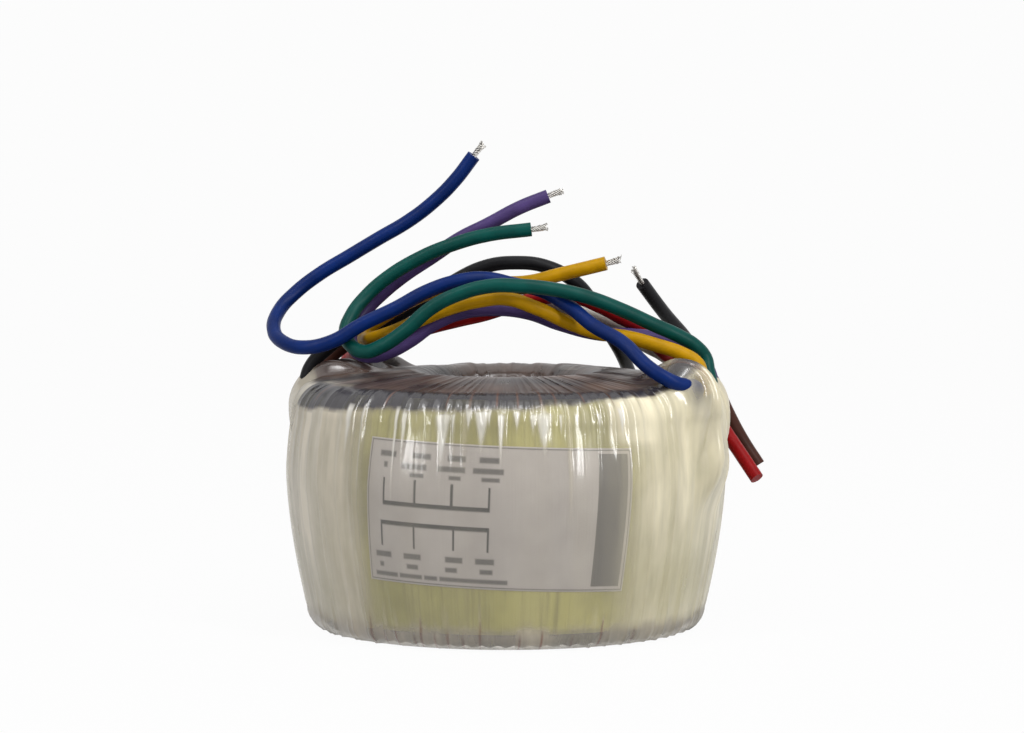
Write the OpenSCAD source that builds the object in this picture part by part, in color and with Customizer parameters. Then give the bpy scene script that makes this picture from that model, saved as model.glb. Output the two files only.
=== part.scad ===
// Toroidal transformer: a ring core with two windings, insulated and held by a wound
// polyester film, with eight flying leads. It stands flat; z = 0 is the face it rests on.

/* [Core] */
// Outer diameter of the wound steel core
core_d = 98; // [90:1:108]
// Diameter of the hole in the core
core_hole_d = 62; // [58:1:66]
// Height of the core
core_h = 46; // [36:1:60]
// Radius on the core's edges
core_edge_r = 0.8; // [0.4:0.1:1.5]
// Wall of the moulded caps, and of the insulating bands between them
cap_t = 0.8; // [0.5:0.1:1.5]
// How far the caps' skirts reach along the core's round walls
cap_skirt = 8; // [4:1:14]

/* [Windings] */
// Depth of the primary winding at the outer side
primary_t = 3.2; // [2:0.1:4]
// Thickness of the film between the windings at the outer side
interwinding_t = 0.4; // [0.2:0.1:0.8]
// Depth of the secondary winding at the outer side
secondary_t = 3.4; // [2.6:0.1:4.2]
// Turns of heavy wire that show as ridges on the secondary winding
secondary_turns = 72; // [48:1:84]
// Height of the ridge that each of those turns makes
turn_ridge = 0.5; // [0.2:0.1:0.8]
// Diameter of the hole left through the middle, for the centre bolt
bore_d = 36; // [30:1:40]
// Winding depth over the core at the rim of the hole, as a multiple of that at the outer side
rim_heap = 1.35; // [1.25:0.05:1.6]
// The same at the outer shoulder
shoulder_heap = 1.05; // [0.95:0.05:1.2]
// The same under the core
base_heap = 1.2; // [1.05:0.05:1.4]
// Radius of the winding's outer top shoulder
shoulder_r = 8; // [6:0.5:10]
// Radius of the winding's outer bottom edge
base_r = 5; // [4:0.5:8]
// Radius of the winding's edge round the hole, top and bottom
lip_r = 7; // [5:0.5:8]
// How far above its middle the winding is widest
widest_up = 8.6; // [4:0.2:12]
// How much smaller the winding's radius is at the base than at its widest
base_taper = 6.5; // [2:0.5:7]
// How much smaller it is at the top
top_taper = 3.9; // [1:0.1:5]

/* [Wrapping] */
// Thickness of the coloured tape band round the outside
band_t = 0.2; // [0.1:0.05:0.4]
// How far the band turns over the top shoulder, in degrees of its arc
band_top_turn = 60; // [40:5:75]
// How far the band turns under the bottom edge
band_base_turn = 10; // [5:5:40]
// Thickness of the outer film at the outer side, without its pleats
film_t = 0.6; // [0.5:0.1:0.9]
// Overlapping turns of film that show as pleats
film_pleats = 48; // [36:1:54]
// Height of a pleat
pleat_h = 0.5; // [0.3:0.1:0.9]

/* [Rating label] */
// Width of the label along the band
label_w = 70; // [50:1:80]
// Height of the label
label_h = 36; // [24:1:38]
// Thickness of the label
label_t = 0.15; // [0.1:0.05:0.25]
// How far above the winding's middle the label's middle is
label_up = 1.9; // [-2:0.1:4]
// Turn of the label's middle round the ring, from the front
label_turn = -2.2; // [-20:0.1:20]
// Tilt of the label in its own plane
label_tilt = 2.3; // [-4:0.1:4]

/* [Leads] */
// Diameter over a lead's insulation
lead_d = 3.7; // [3:0.1:3.7]
// Diameter of the bared strands
strand_d = 1.5; // [1:0.1:2]
// Length of the bared strands
strand_length = 4; // [2:0.5:8]
// Diameter of the sleeve over each joint
sleeve_d = 2.2; // [1.8:0.1:2.4]
// Length of the sleeve over each joint
sleeve_length = 7; // [5:0.5:8]
// Lean of the joints over the shoulder, from upright
joint_lean = 18; // [16:1:22]
// Height at which most leads meet their joints, above the start of the shoulder's curve
joint_up = 5.9; // [5:0.1:6.4]

/* [Hidden] */
$fn = 96;

// Built-up depth, at the outer side, from the insulated core to the top of each layer
primary_top = primary_t;
interwinding_top = primary_top + interwinding_t;
winding_top = interwinding_top + secondary_t;

// What is laid over the windings keeps this much clear of what is under it
lay_gap = 0.05;
wrap_from = winding_top + lay_gap;
band_top = wrap_from + band_t;
label_from = band_top + lay_gap;
label_top = label_from + label_t;
film_top = winding_top + film_t;

// The core stands as high as the layers under it are deep
core_z0 = cap_t + film_top * base_heap;
core_z1 = core_z0 + core_h;

// In the hole the same turns lie deeper, because they crowd together there
hole_crowd = (core_hole_d / 2 - cap_t - bore_d / 2) / film_top;

// Share of the taper left away from the widest height, which falls off by this power
taper_power = 1.6;
function side_radius(r, z, z0, z1, low, high) =
    let (below = max(0, (widest_z - z) / (widest_z - z0)), above = max(0, (z - widest_z) / (z1 - widest_z)))
    r - low * pow(below, taper_power) - high * pow(above, taper_power);

function arc(centre, r, from, to, steps) =
    [for (i = [0:steps]) let (a = from + (to - from) * i / steps) centre + r * [cos(a), sin(a)]];

// Half section of a layer's outer surface, as [radius, height] points. It runs down the outer side
// from the band's upper edge, and the same point of every layer has the same place in the list.
shoulder_steps = 3;
side_steps = 6;
function outer_side(r, z0, z1, top_r, bottom_r, low, high) =
    let (z_top = z1 - top_r, z_low = z0 + bottom_r,
         r_top = side_radius(r, z_top, z0, z1, low, high),
         r_low = side_radius(r, z_low, z0, z1, low, high))
    concat(
        arc([r_top - top_r, z_top], top_r, band_top_turn, 0, shoulder_steps),
        [for (i = [1:side_steps - 1])
            let (z = z_top + (z_low - z_top) * i / side_steps) [side_radius(r, z, z0, z1, low, high), z]],
        arc([r_low - bottom_r, z_low], bottom_r, 0, -band_base_turn, 2)
    );

// The rest of it runs under the base, up the hole and over the top, back to the band's upper edge
function hole_and_ends(hole_r, r, z0, z_rim, z1, top_r, bottom_r, lip, low, high) =
    let (r_top = side_radius(r, z1 - top_r, z0, z1, low, high),
         r_low = side_radius(r, z0 + bottom_r, z0, z1, low, high),
         base_corner = arc([r_low - bottom_r, z0 + bottom_r], bottom_r, -band_base_turn, -90, 2),
         shoulder = arc([r_top - top_r, z1 - top_r], top_r, 90, band_top_turn, 2))
    concat(
        [base_corner[1], base_corner[2]],
        arc([hole_r + lip, z0 + lip], lip, -90, -180, 3),
        arc([hole_r + lip, z_rim - lip], lip, 180, 90, 4),
        [shoulder[0], shoulder[1]]
    );

// The insulated core, and the surface of the finished windings, point for point
insulated_r = core_d / 2 + cap_t;
insulated_hole_r = core_hole_d / 2 - cap_t;
insulated_z0 = core_z0 - cap_t;
insulated_z1 = core_z1 + cap_t;
insulated_edge_r = core_edge_r + cap_t;
wound_r = insulated_r + winding_top;
wound_hole_r = insulated_hole_r - winding_top * hole_crowd;
wound_z0 = insulated_z0 - winding_top * base_heap;
wound_z1 = insulated_z1 + winding_top * shoulder_heap;
wound_rim_z = insulated_z1 + winding_top * rim_heap;
middle_z = (wound_z0 + wound_z1) / 2;
widest_z = middle_z + widest_up;
label_z = middle_z + label_up;

core_side = outer_side(core_d / 2, core_z0, core_z1, core_edge_r, core_edge_r, 0, 0);
core_ends = hole_and_ends(core_hole_d / 2, core_d / 2, core_z0, core_z1, core_z1,
    core_edge_r, core_edge_r, core_edge_r, 0, 0);
insulated_side = outer_side(insulated_r, insulated_z0, insulated_z1, insulated_edge_r, insulated_edge_r, 0, 0);
insulated_ends = hole_and_ends(insulated_hole_r, insulated_r, insulated_z0, insulated_z1, insulated_z1,
    insulated_edge_r, insulated_edge_r, insulated_edge_r, 0, 0);
wound_side = outer_side(wound_r, wound_z0, wound_z1, shoulder_r, base_r, base_taper, top_taper);
wound_ends = hole_and_ends(wound_hole_r, wound_r, wound_z0, wound_rim_z, wound_z1,
    shoulder_r, base_r, lip_r, base_taper, top_taper);

// A surface at a given built-up depth lies that share of the way from the insulated core
function built_up(from, to, depth) = from + (to - from) * depth / winding_top;
function side_at(depth) = [for (i = [0:len(wound_side) - 1]) built_up(insulated_side[i], wound_side[i], depth)];
function ends_at(depth) = [for (i = [0:len(wound_ends) - 1]) built_up(insulated_ends[i], wound_ends[i], depth)];
function section_at(depth) = concat(side_at(depth), ends_at(depth));
function reversed(list) = [for (i = [len(list) - 1:-1:0]) list[i]];

// A point at a radius and a turn round the ring, from the front towards the right
function around(turn, r, z) = [r * sin(turn), -r * cos(turn), z];
function unit(v) = v / norm(v);

// ---- Leads ----
// A joint lies against the band just below the shoulder, and its lead rises from there
lead_r = lead_d / 2;
joint_gap = 0.15;
joint_rise = 5;
shoulder_centre = wound_side[shoulder_steps] - [shoulder_r, 0];
joint_z = shoulder_centre[1] + joint_up;
function joint_radius(z) =
    shoulder_centre[0]
    + sqrt(pow(shoulder_r + band_t + lay_gap + lead_r + joint_gap, 2) - pow(z - shoulder_centre[1], 2));
function lead_rise(turn, z, swing) = [
    around(turn, joint_radius(z), z),
    around(turn - swing, joint_radius(z) - joint_rise * tan(joint_lean), z + joint_rise)
];

// Turn round the ring at which each lead rises. The blue one starts lower and swings to the front.
blue_joint_z = shoulder_centre[1] + 0.9;
blue_swing = 1.5;
green_swing = -1.5;
black_turn = -104;
brown_turn = -115;
red_turn = -126;
white_turn = -138;
blue_turn = 62;
yellow_turn = 69;
green_turn = 76;
purple_turn = 98;

black_rise = lead_rise(black_turn, joint_z, 0);
brown_rise = lead_rise(brown_turn, joint_z, 0);
red_rise = lead_rise(red_turn, joint_z, 0);
white_rise = lead_rise(white_turn, joint_z, 0);
blue_rise = lead_rise(blue_turn, blue_joint_z, blue_swing);
yellow_rise = lead_rise(yellow_turn, joint_z, 0);
green_rise = lead_rise(green_turn, joint_z, green_swing);
purple_rise = lead_rise(purple_turn, joint_z, 0);
primary_rises = [black_rise, brown_rise, red_rise, white_rise];
secondary_rises = [blue_rise, yellow_rise, green_rise, purple_rise];
all_rises = concat(primary_rises, secondary_rises);
joint_turns = [black_turn, brown_turn, red_turn, white_turn, blue_turn, yellow_turn, green_turn, purple_turn];

// Where each lead runs once it is out of the film. The routes were laid over windings of this
// radius and rim height, and spread and rise with them.
laid_over_r = 56.8;
laid_over_z = 66.2;
black_path = [
    [-48, 13, 71.5], [-43, 13, 75], [-32, 14, 79], [-23, 15, 84], [-15, 16, 89],
    [-5.5, 16.5, 93.5], [2.5, 16.5, 94.5], [10.5, 17, 93.5], [18, 19, 89.5], [23.5, 24, 83],
    [27.5, 31, 75.5], [31.5, 40, 68.5], [34.5, 50, 61.5], [38, 58, 54.5], [43, 64.5, 50],
    [49.5, 67.5, 51], [54, 65, 56.5], [54, 57, 64.5], [50, 46.5, 71.5], [42.5, 34, 80.5],
    [36.5, 26, 88.5]
];
white_path = [
    [-33, 32.5, 69.5], [-28.5, 25.5, 72.5], [-23.5, 17, 76], [-17.5, 9, 79.5], [-10, 3, 83],
    [-1.5, 0.5, 85], [9, -0.5, 84.5], [17.5, -1, 83], [26, -1, 80], [31, 3.5, 77],
    [36.5, 12, 73], [42, 23, 69.5], [47, 33, 65], [50, 42, 58.5], [51.5, 48, 50.5],
    [50.5, 51, 42], [48.5, 52, 33.5]
];
brown_path = [
    [-43, 20, 72.5], [-38, 20, 76.5], [-29, 20.5, 81.5], [-20, 21, 85.5], [-9.5, 21, 87.5],
    [1, 20, 87.5], [11.5, 18, 86.5], [22, 15, 84.5], [30, 12, 81.5], [38, 10, 78.5],
    [46, 12, 73.5], [52, 17.5, 67.5], [56.5, 26.5, 60.5], [59.5, 27, 54], [63.5, 28, 46.5],
    [68, 27, 39.5]
];
red_path = [
    [-40, 24, 69.5], [-32.5, 12, 73], [-26.5, 4, 76], [-19.5, -2, 78.5], [-12, -4.5, 80.5],
    [-5.5, -4.5, 82], [2.5, -4, 84.5], [11, -5, 86.5], [18, -6.5, 86.5], [24.5, -6.5, 84],
    [30, -4.5, 81], [34.5, 0, 78.5], [38, 5.5, 75], [41.5, 12, 71], [46, 21, 67.5],
    [50.5, 25, 62.5], [54.5, 24.3, 56], [58.5, 20.5, 49.5], [62.5, 15, 43.5], [66.5, 11, 37.5]
];
purple_path = [
    [48.5, 1, 71.5], [41.5, -2, 75], [32.5, -4.5, 76.5], [24, -7, 77], [14, -7, 79.5],
    [5.5, -7.5, 82.5], [-3.5, -9, 83.5], [-12, -9.5, 82.5], [-19, -10, 79.5], [-25, -10.5, 75.3],
    [-30.5, -11.5, 72.5], [-35, -11.5, 71.5], [-38.5, -10, 72.5], [-40.5, -7, 75.5], [-39, -2.5, 79.5],
    [-36.5, 0, 83], [-32.5, 1.5, 87], [-27, 2, 91.5], [-19.5, 2, 96.5], [-12, 2, 101.5],
    [-5, 2, 105], [3.5, 2, 109.5], [11, 2, 112.5]
];
green_path = [
    [51.5, -9.5, 71], [49, -10.5, 74], [45, -11.5, 76.5], [38.5, -13, 79.5], [30, -15, 83.5],
    [21, -17, 87], [12.5, -18.5, 89], [3.5, -19.5, 90], [-4, -20, 90], [-12, -20, 88],
    [-19, -20, 84.5], [-26, -20, 78.5], [-32, -19, 74.5], [-36.5, -17, 73], [-40, -14.5, 74.5],
    [-41.5, -11, 77.5], [-40, -7.5, 82], [-37, -4.5, 86], [-31.5, -3, 91], [-22.5, -3, 96.5],
    [-14, -3, 100], [-5, -3.5, 102.5], [6.5, -4, 104]
];
yellow_path = [
    [49, -16.5, 70], [45, -16, 72.5], [39, -16, 74.5], [31.5, -14.5, 76.5], [24, -12.5, 77.5],
    [16.5, -12.5, 80], [8, -15, 84], [0, -15, 86.5], [-6.5, -14.5, 86], [-14.5, -13.5, 84],
    [-22, -12.5, 81], [-28.5, -11, 78], [-34, -8, 76], [-36.5, -3.5, 75], [-37.5, 1, 76],
    [-37, 4.5, 77.5], [-34, 7.5, 79.5], [-28.5, 8, 83], [-20, 7.5, 87], [-11, 6.5, 89],
    [-1.5, 5, 89.5], [6, 3.5, 90], [14, 2, 92], [26, 0, 95]
];
blue_path = [
    [48.2, -29.4, 64.5], [43.6, -32.8, 65.8], [40.5, -33.5, 67.2], [36, -32, 70], [29.5, -27, 76],
    [22.5, -21.5, 79.8], [16, -15.5, 84.7], [9, -12, 88.5], [2, -10, 90], [-5, -10.5, 91.5],
    [-12, -12, 91], [-20, -13.5, 88.5], [-28.5, -15, 84], [-37, -16, 80], [-45, -17, 75.5],
    [-52, -15.5, 74], [-57.5, -11, 75], [-60.5, -4.5, 78], [-59.5, 2, 82.5], [-55.5, 6, 87],
    [-49, 8, 92], [-41.5, 9, 96.5], [-34, 9, 101], [-25.5, 8, 106], [-19, 7, 111],
    [-13.5, 6, 116.5], [-8.5, 5, 123]
];
// The black lead's bared strands are longer and bent
black_strands_path = [[34.6, 23, 91.5], [33.6, 21, 93.2]];

function laid(path) = [for (p = path)
    [p[0] * wound_r / laid_over_r, p[1] * wound_r / laid_over_r, p[2] + wound_rim_z - laid_over_z]];
black_route = concat(black_rise, laid(black_path));
white_route = concat(white_rise, laid(white_path));
brown_route = concat(brown_rise, laid(brown_path));
red_route = concat(red_rise, laid(red_path));
purple_route = concat(purple_rise, laid(purple_path));
green_route = concat(green_rise, laid(green_path));
yellow_route = concat(yellow_rise, laid(yellow_path));
blue_route = concat(blue_rise, laid(blue_path));

// The bared strands go on from the end of their lead, the way it points
function strands_after(route) =
    let (end = route[len(route) - 1]) [end, end + strand_length * unit(end - route[len(route) - 2])];
black_strands_route = concat([black_route[len(black_route) - 1]], laid(black_strands_path));

// Rings of a round cord, each square to its run and none twisted against the one before
cord_sides = 8;
function direction_at(route, i) =
    i == 0 ? unit(route[1] - route[0])
    : i == len(route) - 1 ? unit(route[i] - route[i - 1])
    : unit(unit(route[i + 1] - route[i]) + unit(route[i] - route[i - 1]));
function square_to(along, v) = unit(v - along * (v * along));
function ring_axes(route) = [
    for (i = 0, n = square_to(direction_at(route, 0), [0, 1, 0]);
         i < len(route);
         i = i + 1, n = i < len(route) ? square_to(direction_at(route, i), n) : n) n
];

module cord(route, d) {
    axes = ring_axes(route);
    points = [for (i = [0:len(route) - 1]) for (j = [0:cord_sides - 1])
        let (along = direction_at(route, i), n = axes[i], b = cross(along, n), a = 360 * j / cord_sides)
        route[i] + d / 2 * (cos(a) * n + sin(a) * b)];
    last = (len(route) - 1) * cord_sides;
    walls = [for (i = [0:len(route) - 2]) for (j = [0:cord_sides - 1])
        let (k = (j + 1) % cord_sides, p = i * cord_sides, q = p + cord_sides)
        each [[p + j, q + k, p + k], [p + j, q + j, q + k]]];
    start = [[for (j = [0:cord_sides - 1]) j]];
    end = [[for (j = [cord_sides - 1:-1:0]) last + j]];
    polyhedron(points = points, faces = concat(walls, start, end), convexity = 6);
}

// A closed skin over a grid of points: columns go round the ring, rows round its section.
// In a twisted skin each row of columns is joined to the first row some columns further on.
module ring_skin(columns, rows, points, twist = 0) {
    faces = [for (c = [0:columns - 1]) for (r = [0:rows - 1])
        let (c2 = (c + 1) % columns, wraps = r == rows - 1, r2 = wraps ? 0 : r + 1,
             a = c * rows + r, b = c2 * rows + r,
             d = (c + (wraps ? twist : 0)) % columns * rows + r2,
             e = (c2 + (wraps ? twist : 0)) % columns * rows + r2)
        each [[a, b, e], [a, e, d]]];
    polyhedron(points = points, faces = faces, convexity = 8);
}

module layer(outer, inner) {
    rotate_extrude() difference() {
        polygon(outer);
        polygon(inner);
    }
}

// Strip of the given thickness that lies on the band's part of the section
module wall_strip(from_depth, to_depth) {
    rotate_extrude() polygon(concat(side_at(to_depth), reversed(side_at(from_depth))));
}

// Round bar on the line of a route's first run, from one distance past its start to another
module along(route, d, from, to) {
    run = unit(route[1] - route[0]);
    translate(route[0])
        rotate([0, acos(run[2]), atan2(run[1], run[0])])
            translate([0, 0, from])
                cylinder(d = d, h = to - from, $fn = 24);
}

// ---- Core ----
module core_section() {
    polygon(concat(core_side, core_ends));
}

// One moulded cap: a channel over an end of the core, from its face down both round walls
module cap(z, h) {
    rotate_extrude() difference() {
        intersection() {
            polygon(section_at(0));
            translate([0, z]) square([core_d, h]);
        }
        core_section();
    }
}

module core() {
    color([0.45, 0.46, 0.48]) rotate_extrude() core_section();
}

module core_cap_top() {
    color([0.16, 0.16, 0.17]) cap(core_z1 - cap_skirt, cap_skirt + cap_t);
}

module core_cap_bottom() {
    color([0.16, 0.16, 0.17]) cap(insulated_z0, cap_skirt + cap_t);
}

module band_between_caps(r) {
    translate([0, 0, core_z0 + cap_skirt]) difference() {
        cylinder(r = r + cap_t, h = core_h - 2 * cap_skirt);
        translate([0, 0, -1]) cylinder(r = r, h = core_h);
    }
}

module core_band_outer() {
    color([0.80, 0.74, 0.60]) band_between_caps(core_d / 2);
}

module core_band_inner() {
    color([0.80, 0.74, 0.60]) band_between_caps(core_hole_d / 2 - cap_t);
}

// ---- Windings ----
module primary_winding() {
    color([0.70, 0.36, 0.18]) layer(section_at(primary_top), section_at(0));
}

module interwinding_film() {
    color([0.86, 0.80, 0.62]) layer(section_at(interwinding_top), section_at(primary_top));
}

// The heavy turns cross the section like hoops: a crest for each wire and a valley between two
function thinned(list) = [for (i = [1:2:len(list) - 1]) list[i]];
module secondary_winding() {
    crest = thinned(section_at(winding_top));
    valley = thinned(section_at(winding_top - turn_ridge));
    columns = 2 * secondary_turns;
    rows = len(crest);
    points = [for (c = [0:columns - 1]) for (p = c % 2 == 0 ? crest : valley)
        around(360 * c / columns, p[0], p[1])];
    color([0.76, 0.42, 0.22]) difference() {
        ring_skin(columns, rows, points);
        rotate_extrude() polygon(section_at(interwinding_top));
    }
}

// ---- Wrapping ----
module outer_band() {
    color([0.78, 0.72, 0.38]) wall_strip(wrap_from, band_top);
}

// The label lies on the band; the film has a pocket for it that opens to the space round the band.
// Half the label's width is laid straight across the ring instead of round it.
label_x = wound_r * sin(label_w / 2 / wound_r * 180 / PI);
module label_shape(from_depth, to_depth) {
    intersection() {
        wall_strip(from_depth, to_depth);
        rotate([0, 0, label_turn])
            translate([0, 0, label_z])
                rotate([0, label_tilt, 0])
                    translate([-label_x, -2 * wound_r, -label_h / 2])
                        cube([2 * label_x, 2 * wound_r, label_h]);
    }
}
module rating_label() {
    color([0.72, 0.70, 0.69]) label_shape(label_from, label_top);
}

// Film is wound through the hole and round the outside. Each turn laps over the one before, and a
// full trip round the section moves it on by one pleat.
pleat_steps = [[0, 0], [0.22, 1], [0.6, 0.45]];
film_slack = 0.1;
// Extra depth of film over a joint, row by row down the outer side
joint_pad = [1.6, 3.8, 3.9, 3.8, 1.8];
pad_reach = 6.5;
pad_fall = 3;
function pad_at(turn, row) =
    row >= len(joint_pad) ? 0
    : joint_pad[row] * max([for (j = joint_turns)
        let (off = abs((turn - j + 540) % 360 - 180)) max(0, min(1, (pad_reach - off) / pad_fall))]);

module film_skin() {
    inner = section_at(0);
    outer = section_at(film_top);
    rows = len(outer);
    steps = len(pleat_steps);
    columns = film_pleats * steps;
    points = [for (c = [0:columns - 1]) for (row = [0:rows - 1])
        let (step = pleat_steps[c % steps],
             turn = 360 * (floor(c / steps) + step[0] + row / rows) / film_pleats,
             depth = film_slack + pleat_h * step[1] + pad_at(turn, row),
             p = outer[row] + (outer[row] - inner[row]) * depth / film_top)
        around(turn, p[0], p[1])];
    ring_skin(columns, rows, points, steps);
}

// What the film is wrapped round, with the leads' first runs and their joints
module wrapped_space() {
    under = side_at(wrap_from);
    rotate_extrude($fn = 180)
        polygon(concat([under[0]], side_at(label_from), [under[len(under) - 1]], ends_at(wrap_from)));
    label_shape(wrap_from, label_top + lay_gap);
    along([blue_route[1], blue_route[2]], lead_d + 2 * joint_gap, 0, 2 * lead_d);
    translate(blue_route[1]) sphere(d = lead_d + 2 * joint_gap, $fn = 24);
    for (rise = all_rises) {
        along(rise, lead_d + 2 * joint_gap, 0, 3 * lead_d);
        along(rise, sleeve_d + joint_gap, -sleeve_length, lead_r);
    }
}

// The base is cut flat and the hole is cut true, by shapes that reach this far past the film
cut_past = 10;
film_crest_z = insulated_z1 + film_top * rim_heap;
module outer_film() {
    color([0.80, 0.76, 0.68, 0.45]) difference() {
        film_skin();
        union() {
            translate([0, 0, -cut_past]) cylinder(r = wound_r + cut_past, h = cut_past);
            translate([0, 0, -cut_past]) cylinder(d = bore_d, h = film_crest_z + 2 * cut_past);
        }
        wrapped_space();
    }
}

// ---- Joints ----
module joint_sleeves_primary() {
    color([0.30, 0.29, 0.28]) for (rise = primary_rises) along(rise, sleeve_d, -sleeve_length, 0);
}

module joint_sleeves_secondary() {
    color([0.30, 0.29, 0.28]) for (rise = secondary_rises) along(rise, sleeve_d, -sleeve_length, 0);
}

// ---- Leads ----
module lead_black() {
    color([0.09, 0.09, 0.10]) cord(black_route, lead_d);
}

module lead_white() {
    color([0.88, 0.87, 0.84]) cord(white_route, lead_d);
}

module lead_brown() {
    color([0.35, 0.19, 0.14]) cord(brown_route, lead_d);
}

module lead_red() {
    color([0.60, 0.10, 0.09]) cord(red_route, lead_d);
}

module lead_purple() {
    color([0.31, 0.24, 0.44]) cord(purple_route, lead_d);
}

module lead_green() {
    color([0.02, 0.28, 0.27]) cord(green_route, lead_d);
}

module lead_yellow() {
    color([0.78, 0.58, 0.08]) cord(yellow_route, lead_d);
}

module lead_blue() {
    color([0.05, 0.16, 0.38]) cord(blue_route, lead_d);
}

module conductor_black() {
    color([0.78, 0.78, 0.76]) cord(black_strands_route, strand_d);
}

module conductor_purple() {
    color([0.78, 0.78, 0.76]) cord(strands_after(purple_route), strand_d);
}

module conductor_green() {
    color([0.78, 0.78, 0.76]) cord(strands_after(green_route), strand_d);
}

module conductor_yellow() {
    color([0.78, 0.78, 0.76]) cord(strands_after(yellow_route), strand_d);
}

module conductor_blue() {
    color([0.78, 0.78, 0.76]) cord(strands_after(blue_route), strand_d);
}

core();
core_cap_top();
core_cap_bottom();
core_band_outer();
core_band_inner();
primary_winding();
interwinding_film();
secondary_winding();
outer_band();
rating_label();
outer_film();
joint_sleeves_primary();
joint_sleeves_secondary();
lead_black();
lead_white();
lead_brown();
lead_red();
lead_purple();
lead_green();
lead_yellow();
lead_blue();
conductor_black();
conductor_purple();
conductor_green();
conductor_yellow();
conductor_blue();
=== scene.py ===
import bpy
import numpy as np
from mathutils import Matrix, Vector


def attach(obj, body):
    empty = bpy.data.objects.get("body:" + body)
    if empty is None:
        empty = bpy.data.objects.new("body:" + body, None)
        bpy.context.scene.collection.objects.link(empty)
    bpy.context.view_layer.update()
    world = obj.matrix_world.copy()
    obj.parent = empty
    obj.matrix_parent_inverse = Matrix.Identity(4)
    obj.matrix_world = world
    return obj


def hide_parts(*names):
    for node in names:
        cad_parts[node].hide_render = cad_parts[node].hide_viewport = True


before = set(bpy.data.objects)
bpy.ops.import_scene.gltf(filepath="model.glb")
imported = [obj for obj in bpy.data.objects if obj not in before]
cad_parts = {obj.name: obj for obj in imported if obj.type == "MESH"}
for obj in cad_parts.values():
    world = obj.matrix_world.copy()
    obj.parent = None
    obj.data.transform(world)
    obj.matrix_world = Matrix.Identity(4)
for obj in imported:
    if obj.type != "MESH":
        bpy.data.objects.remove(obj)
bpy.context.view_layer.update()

scene = bpy.context.scene
scene.view_settings.view_transform = "Standard"


# ---- Camera ----
# A long lens nearly level with the transformer's shoulder, looking a little down on it.
camera_data = bpy.data.cameras.new("camera")
camera_data.lens = 123.9
camera_data.sensor_width = 36
camera = bpy.data.objects.new("camera", camera_data)
camera.location = (0.0015, -0.92, 0.132)
looks_at = Vector((0.0015, 0, 0.068))
camera.rotation_mode = "QUATERNION"
camera.rotation_quaternion = (looks_at - camera.location).to_track_quat("-Z", "Y")
scene.collection.objects.link(camera)
scene.camera = camera


# ---- Leads ----
# Eight flexible leads bring the windings' ends out: stranded wire in extruded PVC, stiff enough to
# keep the loops they were bent into. Each is joined to its winding's end under the outer film, at
# the shoulder, and rises out through the film there.
LEAD_D = 0.0037
SHOULDER_R = 0.008
SHOULDER_MIDDLE = (0.04683, 0.05607)  # radius and height
TAPE_OVER_SHOULDER, GAP_UNDER_JOINT = 0.00025, 0.00015
LEAD_ABOVE_SHOULDER = TAPE_OVER_SHOULDER + GAP_UNDER_JOINT + LEAD_D / 2
JOINT_RISE = 0.005
JOINT_LEAN = 0.3249  # inward run for each unit of height
JOINT_Z, LOW_JOINT_Z = 0.06197, 0.05697  # where the leads rise from; the blue one starts lower
PVC_SHADE = 0.72  # the darker of its two tones, as a share of the lighter one
PVC_ROUGHNESS = (0.33, 0.49)


def linear(red, green, blue):
    """A colour as it looks on a screen, from 0 to 255, turned into the shader's linear values."""
    c = np.array([red, green, blue]) / 255
    return (*np.where(c < 0.04045, c / 12.92, ((c + 0.055) / 1.055) ** 2.4).tolist(), 1.0)


def new_material(name):
    """A material with an empty node tree and its output."""
    material = bpy.data.materials.new(name)
    material.use_nodes = True
    material.node_tree.nodes.clear()
    return material, material.node_tree


def add(tree, kind, inputs=None, **settings):
    """A node with its settings. Each input is joined to a node's output or set to a value."""
    made = tree.nodes.new("ShaderNode" + kind)
    for key, value in settings.items():
        setattr(made, key, value)
    for key, value in (inputs or {}).items():
        if isinstance(value, bpy.types.NodeSocket):
            tree.links.new(value, made.inputs[key])
        else:
            made.inputs[key].default_value = value
    return made


def show(tree, shader):
    """Joins a shader's output to the material's surface."""
    add(tree, "OutputMaterial", {"Surface": shader})


def mix_colour(tree, factor, first, second):
    """The output of a colour mix: the first colour at factor 0 and the second at 1."""
    return add(tree, "Mix", {0: factor, 6: first, 7: second}, data_type="RGBA").outputs[2]


def noise(tree, scale, detail=3.0):
    """The output of a noise texture on object coordinates."""
    place = add(tree, "TexCoord").outputs["Object"]
    return add(tree, "TexNoise", {"Vector": place, "Scale": scale, "Detail": detail}).outputs[0]


def between(tree, value, low, high, to_low=0.0, to_high=1.0):
    """A value carried evenly from one range to another and held inside it."""
    places = {0: value, 1: low, 2: high, 3: to_low, 4: to_high}
    return add(tree, "MapRange", places).outputs[0]


def pvc(name, colour):
    """Extruded PVC: its colour is a little uneven, and its skin has fine marks and a dull gloss."""
    material, tree = new_material(name)
    darker = tuple(c * PVC_SHADE for c in colour[:3]) + (1.0,)
    tone = mix_colour(tree, between(tree, noise(tree, 160), 0.35, 0.65), darker, colour)
    bump = add(tree, "Bump", {"Height": noise(tree, 900, 2), "Strength": 0.12, "Distance": 0.0004})
    surface = add(tree, "BsdfPrincipled", {
        "Base Color": tone,
        "Roughness": between(tree, noise(tree, 240), 0.3, 0.7, *PVC_ROUGHNESS),
        "Normal": bump.outputs[0],
        "Specular IOR Level": 0.12,
    })
    show(tree, surface.outputs[0])
    return material


def shoulder_radius(height, off):
    """Radius at a height on the shoulder's arc, moved out by off. The way out from the arc's middle
    is the root of its radius squared less the height above its middle squared."""
    out_squared = (SHOULDER_R + off) ** 2 - (height - SHOULDER_MIDDLE[1]) ** 2
    return SHOULDER_MIDDLE[0] + np.sqrt(np.maximum(out_squared, 0))


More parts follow.
